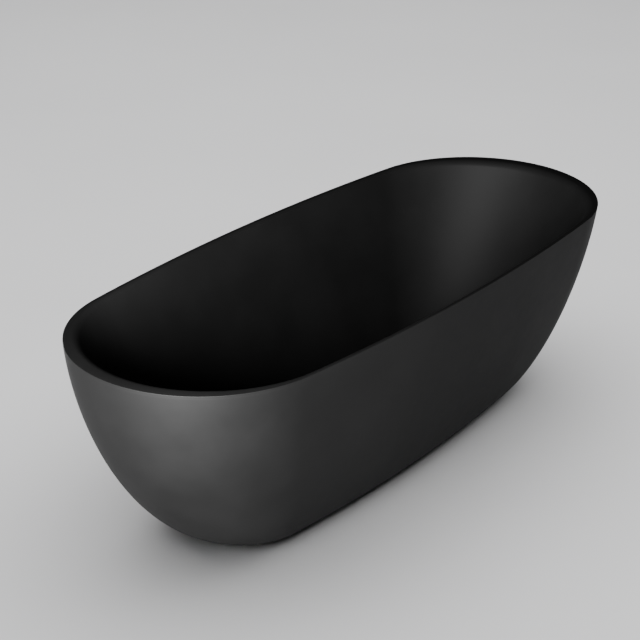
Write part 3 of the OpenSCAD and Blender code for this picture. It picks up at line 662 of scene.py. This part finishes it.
def hose_plastic():
    """Corrugated polyethylene hose: a dark waxy grey with paler scuffs."""
    m, tree, shader, where = start_material("corrugated_polyethylene")
    scuff = noise(tree, where, size_mm=4, detail=4)
    colour = tint(tree, spread(tree, scuff, 0, 1), linear("#3b3c3f"), linear("#56585b"))
    set_shader(tree, shader, Base_Color=colour, Roughness=spread(tree, scuff, 0.32, 0.5),
               Normal=bump(tree, noise(tree, where, size_mm=0.8, detail=1), 0.02, 0.4))
    return m


MATERIAL_MAKERS = {
    "bath_composite": lambda c: cast_composite("cast_composite_satin_black", c.body, c.cloud, c.roughness),
    "bond": lambda c: bond_adhesive(),
    "board": lambda c: birch_plywood(),
    "raw_steel": lambda c: mild_steel(),
    "zinc_steel": lambda c: zinc_plate(),
    "stainless": lambda c: turned_stainless(),
    "black_plastic": lambda c: moulded_plastic(
        "moulded_polypropylene", linear("#19191a"), linear("#222223"), 0.9, 0.5),
    "black_metal": lambda c: powder_coat("powder_coated_brass", linear("#131314"), linear("#2a2a2b")),
    "seal_rubber": lambda c: seal_rubber(),
    "hose_plastic": lambda c: hose_plastic(),
}
MADE = {}


def material_of(slot):
    """The material of one of the record's slots, made once."""
    if slot not in MADE:
        MADE[slot] = MATERIAL_MAKERS[slot](bpy.context.scene.bath_colours)
    return MADE[slot]


SLOT_OF = {p["node"]: p["material_slot"] for p in frame["record"]["subparts"]}


def finish_nodes(names):
    """Gives carried-over solids the material of their own slot."""
    for name in names:
        finish_piece(NODES[name], material_of(SLOT_OF[name]))


STUDS = [f"leg_stud_{n}" for n in range(1, 5)]
REDRAWN = {"outer_shell", "inner_basin", "rim_bond", "overflow_hose", *STUDS}


# ---- Settings ----

def length_prop(name, words, mm):
    """A length that a user may change, given in millimetres and kept in metres."""
    return bpy.props.FloatProperty(
        name=name, description=words, default=mm * MM, min=0, precision=4, subtype="DISTANCE")


def in_millimetres(sizes):
    """The sizes with every length in millimetres, and the powers and shares as they are."""
    kinds = sizes.bl_rna.properties
    return SimpleNamespace(**{
        name: getattr(sizes, name) / (MM if kinds[name].unit == "LENGTH" else 1)
        for name in sizes.__annotations__})


def colour_prop(name, words, code):
    """A colour that a user may change, given as an sRGB hex code."""
    return bpy.props.FloatVectorProperty(
        name=name, description=words, default=linear(code), size=4, min=0, max=1, subtype="COLOR")


def shape_prop(name, words, value):
    """A power or a share that bends a profile or an outline."""
    return bpy.props.FloatProperty(name=name, description=words, default=value, min=0.1)


def power_prop(name, words, watts):
    """A light's power."""
    return bpy.props.FloatProperty(name=name, description=words, default=watts, min=0, subtype="POWER")


def angle_prop(name, words, degrees):
    """An angle."""
    return bpy.props.FloatProperty(
        name=name, description=words, default=math.radians(degrees), subtype="ANGLE")


class BathSizes(bpy.types.PropertyGroup):
    """Sizes of the bath's two skins."""
    length: length_prop("Length", "Overall length over the rim", float(HIGH[0] - LOW[0]) / MM)
    width: length_prop("Width", "Overall width over the rim", float(HIGH[1] - LOW[1]) / MM)
    height: length_prop("Height", "Height of the rim above the floor", float(HIGH[2] - LOW[2]) / MM)
    base_length: length_prop("Foot length", "Length of the ring on the floor", 1026)
    base_width: length_prop("Foot width", "Width of the ring on the floor", 273)
    foot_ring: length_prop("Foot ring", "How far the shell turns in under itself", 20)
    shell: length_prop("Shell", "Thickness of the outer shell", 5)
    basin: length_prop("Basin", "Thickness of the basin", 6)
    lip: length_prop("Lip", "Height of the outer face of the rim", 6)
    bond: length_prop("Bond", "Height of the seam under the lip", 1.5)
    rim_edge: length_prop("Rim edge", "Radius of the rim's outer edge", 1.2)
    mouth_length: length_prop("Mouth length", "Length where the flat rim ends", 1652)
    mouth_width: length_prop("Mouth width", "Width where the flat rim ends", 688)
    end_radius: length_prop("End radius", "Radius of the rim's inner edge at the ends", 27)
    side_radius: length_prop("Side radius", "Radius of the rim's inner edge on the long sides", 15)
    floor_length: length_prop("Floor length", "Length of the basin's floor", 960)
    floor_width: length_prop("Floor width", "Width of the basin's floor", 300)
    floor_height: length_prop("Floor height", "Height of the basin's floor at the drain", 125)
    floor_fall: length_prop("Fall", "Fall of the floor towards the drain", 3)
    waste_hole: length_prop("Waste hole", "Radius of the hole for the waste", 26)
    thread: length_prop("Thread", "Diameter of the legs' threads", 12)
    long_power: shape_prop("Length swell", "Power of the profile along the bath", 1.71)
    wide_power: shape_prop("Width swell", "Power of the profile across the bath", 2.2)
    basin_power: shape_prop("Basin swell", "Power of the basin's profile", 1.4)
    rim_round: shape_prop("Rim round", "End radius over half width at the rim", 0.917)
    base_round: shape_prop("Foot round", "End radius over half width at the foot", 0.862)


class BathColours(bpy.types.PropertyGroup):
    """Colours and roughness of the bath and its floor."""
    body: colour_prop("Body", "Composite's black", "#050505")
    cloud: colour_prop("Clouding", "Composite's black where sanding clouded it", "#070707")
    roughness: bpy.props.FloatProperty(
        name="Roughness", description="Roughness of the satin", default=0.57, min=0, max=1,
        subtype="FACTOR")
    floor: colour_prop("Floor", "Studio floor", "#c9c9ca")


class BathStudio(bpy.types.PropertyGroup):
    """Camera and lights."""
    lens: bpy.props.FloatProperty(
        name="Lens", description="Focal length on a 36 mm sensor", default=95.08, min=1,
        subtype="DISTANCE_CAMERA")
    place: bpy.props.FloatVectorProperty(
        name="Camera", description="Camera's place", default=(-3.0174, -2.2856, 2.1092),
        subtype="TRANSLATION")
    yaw: angle_prop("Yaw", "Turn from +Y towards +X", 51.5813)
    pitch: angle_prop("Pitch", "Tilt below the horizon", 24.779)
    key: power_prop("Key", "Power of the key light", 940)
    fill: power_prop("Fill", "Power of the overhead fill", 50)
    rear: power_prop("Rear", "Power of the light behind the bath", 190)
    wash: power_prop("Wash", "Power of the light kept to the floor", 1500)
    sky: bpy.props.FloatProperty(
        name="Sky", description="Strength of the even light all round", default=0.06, min=0)


FLOOR_HALF = 20          # metres
FLOOR_DROP = 0.0002      # metres that the floor lies under the bath, so their faces don't fight
FLOOR_MOTTLE = linear("#c6c6c7")
SKY_COLOUR = linear("#e6e6e6")
SENSOR_MM = 36
BLACKS = ("bath_skirt", "bath_basin", "rim_seam")    # what the key and rear lights are kept to
LIGHTS = {               # place, target and size, in metres
    "key_light": ((-2.12, -0.78, 0.86), (-0.6, -0.1, 0.35), 0.8),
    "rear_light": ((0.5, 2.6, 0.25), (0.0, 0.2, 0.2), 0.5),
    "floor_wash": ((0.6, 0.4, 6.5), (0.6, 0.4, 0), 13.0),
    "top_fill": ((0.2, 0.0, 4.2), (0.1, 0, 0), 4.0),
}


# ---- Operators ----

class BATH_OT_skirt(bpy.types.Operator):
    """Outer shell: one smooth skin from the floor ring to the lip"""
    bl_idname = "bath.skirt"
    bl_label = "Skirt"

    def execute(self, context):
        rings = skirt_rings(in_millimetres(context.scene.bath_sizes))
        piece = mesh_piece("bath_skirt", rings, carried_round(rings), "bath", ["outer_shell"])
        finish_piece(piece, material_of("bath_composite"))
        return {"FINISHED"}


class BATH_OT_basin(bpy.types.Operator):
    """Basin: floor, wall, rounded inner edge, flat rim and lip in one skin"""
    bl_idname = "bath.basin"
    bl_label = "Basin"

    def execute(self, context):
        low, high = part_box("overflow_cover")
        sizes = in_millimetres(context.scene.bath_sizes)
        points, faces = basin_mesh(sizes, (low[2] + high[2]) / 2 / MM)
        piece = mesh_piece("bath_basin", points, faces, "bath", ["inner_basin"])
        finish_piece(piece, material_of("bath_composite"))
        return {"FINISHED"}


class BATH_OT_seam(bpy.types.Operator):
    """Bead that joins shell and basin under the lip"""
    bl_idname = "bath.seam"
    bl_label = "Rim seam"

    def execute(self, context):
        rings = seam_rings(in_millimetres(context.scene.bath_sizes))
        piece = mesh_piece("rim_seam", rings, carried_round(rings), "bath", ["rim_bond"])
        finish_piece(piece, material_of("bond"))
        return {"FINISHED"}


class BATH_OT_studs(bpy.types.Operator):
    """Threaded legs with their hexagons, one in each foot"""
    bl_idname = "bath.studs"
    bl_label = "Leg studs"

    def execute(self, context):
        sizes = in_millimetres(context.scene.bath_sizes)
        for n, node in enumerate(STUDS, 1):
            low, high = (np.array(v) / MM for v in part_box(node))
            rings = stud_rings(low[2], high[2], sizes.thread / 2, (high[0] - low[0]) / 2)
            rings[..., :2] += (low[:2] + high[:2]) / 2
            piece = mesh_piece(f"threaded_leg_{n}", rings, with_caps(rings), f"stud_{n}", [node])
            finish_piece(piece, material_of(SLOT_OF[node]))
        return {"FINISHED"}


class BATH_OT_hose(bpy.types.Operator):
    """Corrugated hose from the overflow down to the waste"""
    bl_idname = "bath.hose"
    bl_label = "Overflow hose"

    def execute(self, context):
        rings = hose_rings()
        piece = mesh_piece("corrugated_hose", rings, with_caps(rings), "bath", ["overflow_hose"])
        finish_piece(piece, material_of("hose_plastic"))
        return {"FINISHED"}


class BATH_OT_fittings(bpy.types.Operator):
    """Cradle, feet, waste, overflow and trap: carried-over solids with their own finishes"""
    bl_idname = "bath.fittings"
    bl_label = "Fittings"

    def execute(self, context):
        finish_nodes(n for n in NODES if n not in REDRAWN)
        return {"FINISHED"}


class BATH_OT_stage(bpy.types.Operator):
    """Plain pale floor, soft lights and the camera"""
    bl_idname = "bath.stage"
    bl_label = "Stage"

    def execute(self, context):
        studio = context.scene.bath_studio
        floor = self.floor(context)
        blacks = [bpy.data.objects[name] for name in BLACKS]
        self.only_on(self.area(context, "key_light", studio.key), blacks)
        self.only_on(self.area(context, "rear_light", studio.rear), blacks)
        self.only_on(self.area(context, "floor_wash", studio.wash), [floor])
        self.area(context, "top_fill", studio.fill)
        world = bpy.data.worlds.new("studio_light")
        world.use_nodes = True
        background = world.node_tree.nodes["Background"]
        background.inputs["Color"].default_value = SKY_COLOUR
        background.inputs["Strength"].default_value = studio.sky
        context.scene.world = world
        data = bpy.data.cameras.new("bath_camera")
        data.lens = studio.lens
        data.sensor_width = SENSOR_MM
        camera = bpy.data.objects.new("bath_camera", data)
        camera.location = studio.place
        camera.rotation_euler = (math.pi / 2 - studio.pitch, 0, -studio.yaw)
        context.scene.collection.objects.link(camera)
        context.scene.camera = camera
        return {"FINISHED"}

    @staticmethod
    def floor(context):
        """A level floor just under the bath, faintly mottled."""
        mesh = bpy.data.meshes.new("studio_floor")
        z = float(LOW[2]) - FLOOR_DROP
        corners = [(x * FLOOR_HALF, y * FLOOR_HALF, z) for x, y in ((-1, -1), (1, -1), (1, 1), (-1, 1))]
        mesh.from_pydata(corners, [], [(0, 1, 2, 3)])
        floor = bpy.data.objects.new("studio_floor", mesh)
        context.scene.collection.objects.link(floor)
        m, tree, shader, where = start_material("painted_concrete_floor")
        patches = spread(tree, noise(tree, where, size_mm=900, detail=3), 0, 1)
        tone = tint(tree, patches, context.scene.bath_colours.floor, FLOOR_MOTTLE)
        set_shader(tree, shader, Base_Color=tone, Roughness=0.7)
        mesh.materials.append(m)
        return floor

    @staticmethod
    def area(context, name, power):
        """A square soft light at its place, turned to its target."""
        place, target, size = LIGHTS[name]
        data = bpy.data.lights.new(name, "AREA")
        data.size = size
        data.energy = power
        light = bpy.data.objects.new(name, data)
        light.location = place
        way = Vector(target) - Vector(place)
        light.rotation_euler = way.to_track_quat("-Z", "Y").to_euler()
        context.scene.collection.objects.link(light)
        return light

    @staticmethod
    def only_on(light, pieces):
        """Keeps a light to the given pieces."""
        lit = bpy.data.collections.new("lit_by_" + light.name)
        for piece in pieces:
            lit.objects.link(piece)
        light.light_linking.receiver_collection = lit


class BATH_PT_panel(bpy.types.Panel):
    """The bath's tools in the sidebar"""
    bl_idname = "BATH_PT_panel"
    bl_label = "Bath"
    bl_space_type = "VIEW_3D"
    bl_region_type = "UI"
    bl_category = "Bath"

    def draw(self, context):
        for group in GROUPS:
            settings = getattr(context.scene, group)
            for name in settings.__annotations__:
                self.layout.prop(settings, name)
        for tool in TOOLS:
            self.layout.operator(tool.bl_idname)


GROUPS = {"bath_sizes": BathSizes, "bath_colours": BathColours, "bath_studio": BathStudio}
TOOLS = (
    BATH_OT_skirt, BATH_OT_basin, BATH_OT_seam, BATH_OT_studs, BATH_OT_hose, BATH_OT_fittings,
    BATH_OT_stage)
CLASSES = (*GROUPS.values(), *TOOLS, BATH_PT_panel)


def register():
    for kind in CLASSES:
        bpy.utils.register_class(kind)
    for name, kind in GROUPS.items():
        setattr(bpy.types.Scene, name, bpy.props.PointerProperty(type=kind))


def unregister():
    for name in GROUPS:
        delattr(bpy.types.Scene, name)
    for kind in reversed(CLASSES):
        bpy.utils.unregister_class(kind)


def main():
    """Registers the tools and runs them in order."""
    register()
    for tool in TOOLS:
        family, name = tool.bl_idname.split(".")
        getattr(getattr(bpy.ops, family), name)()


if __name__ == "__main__":
    main()
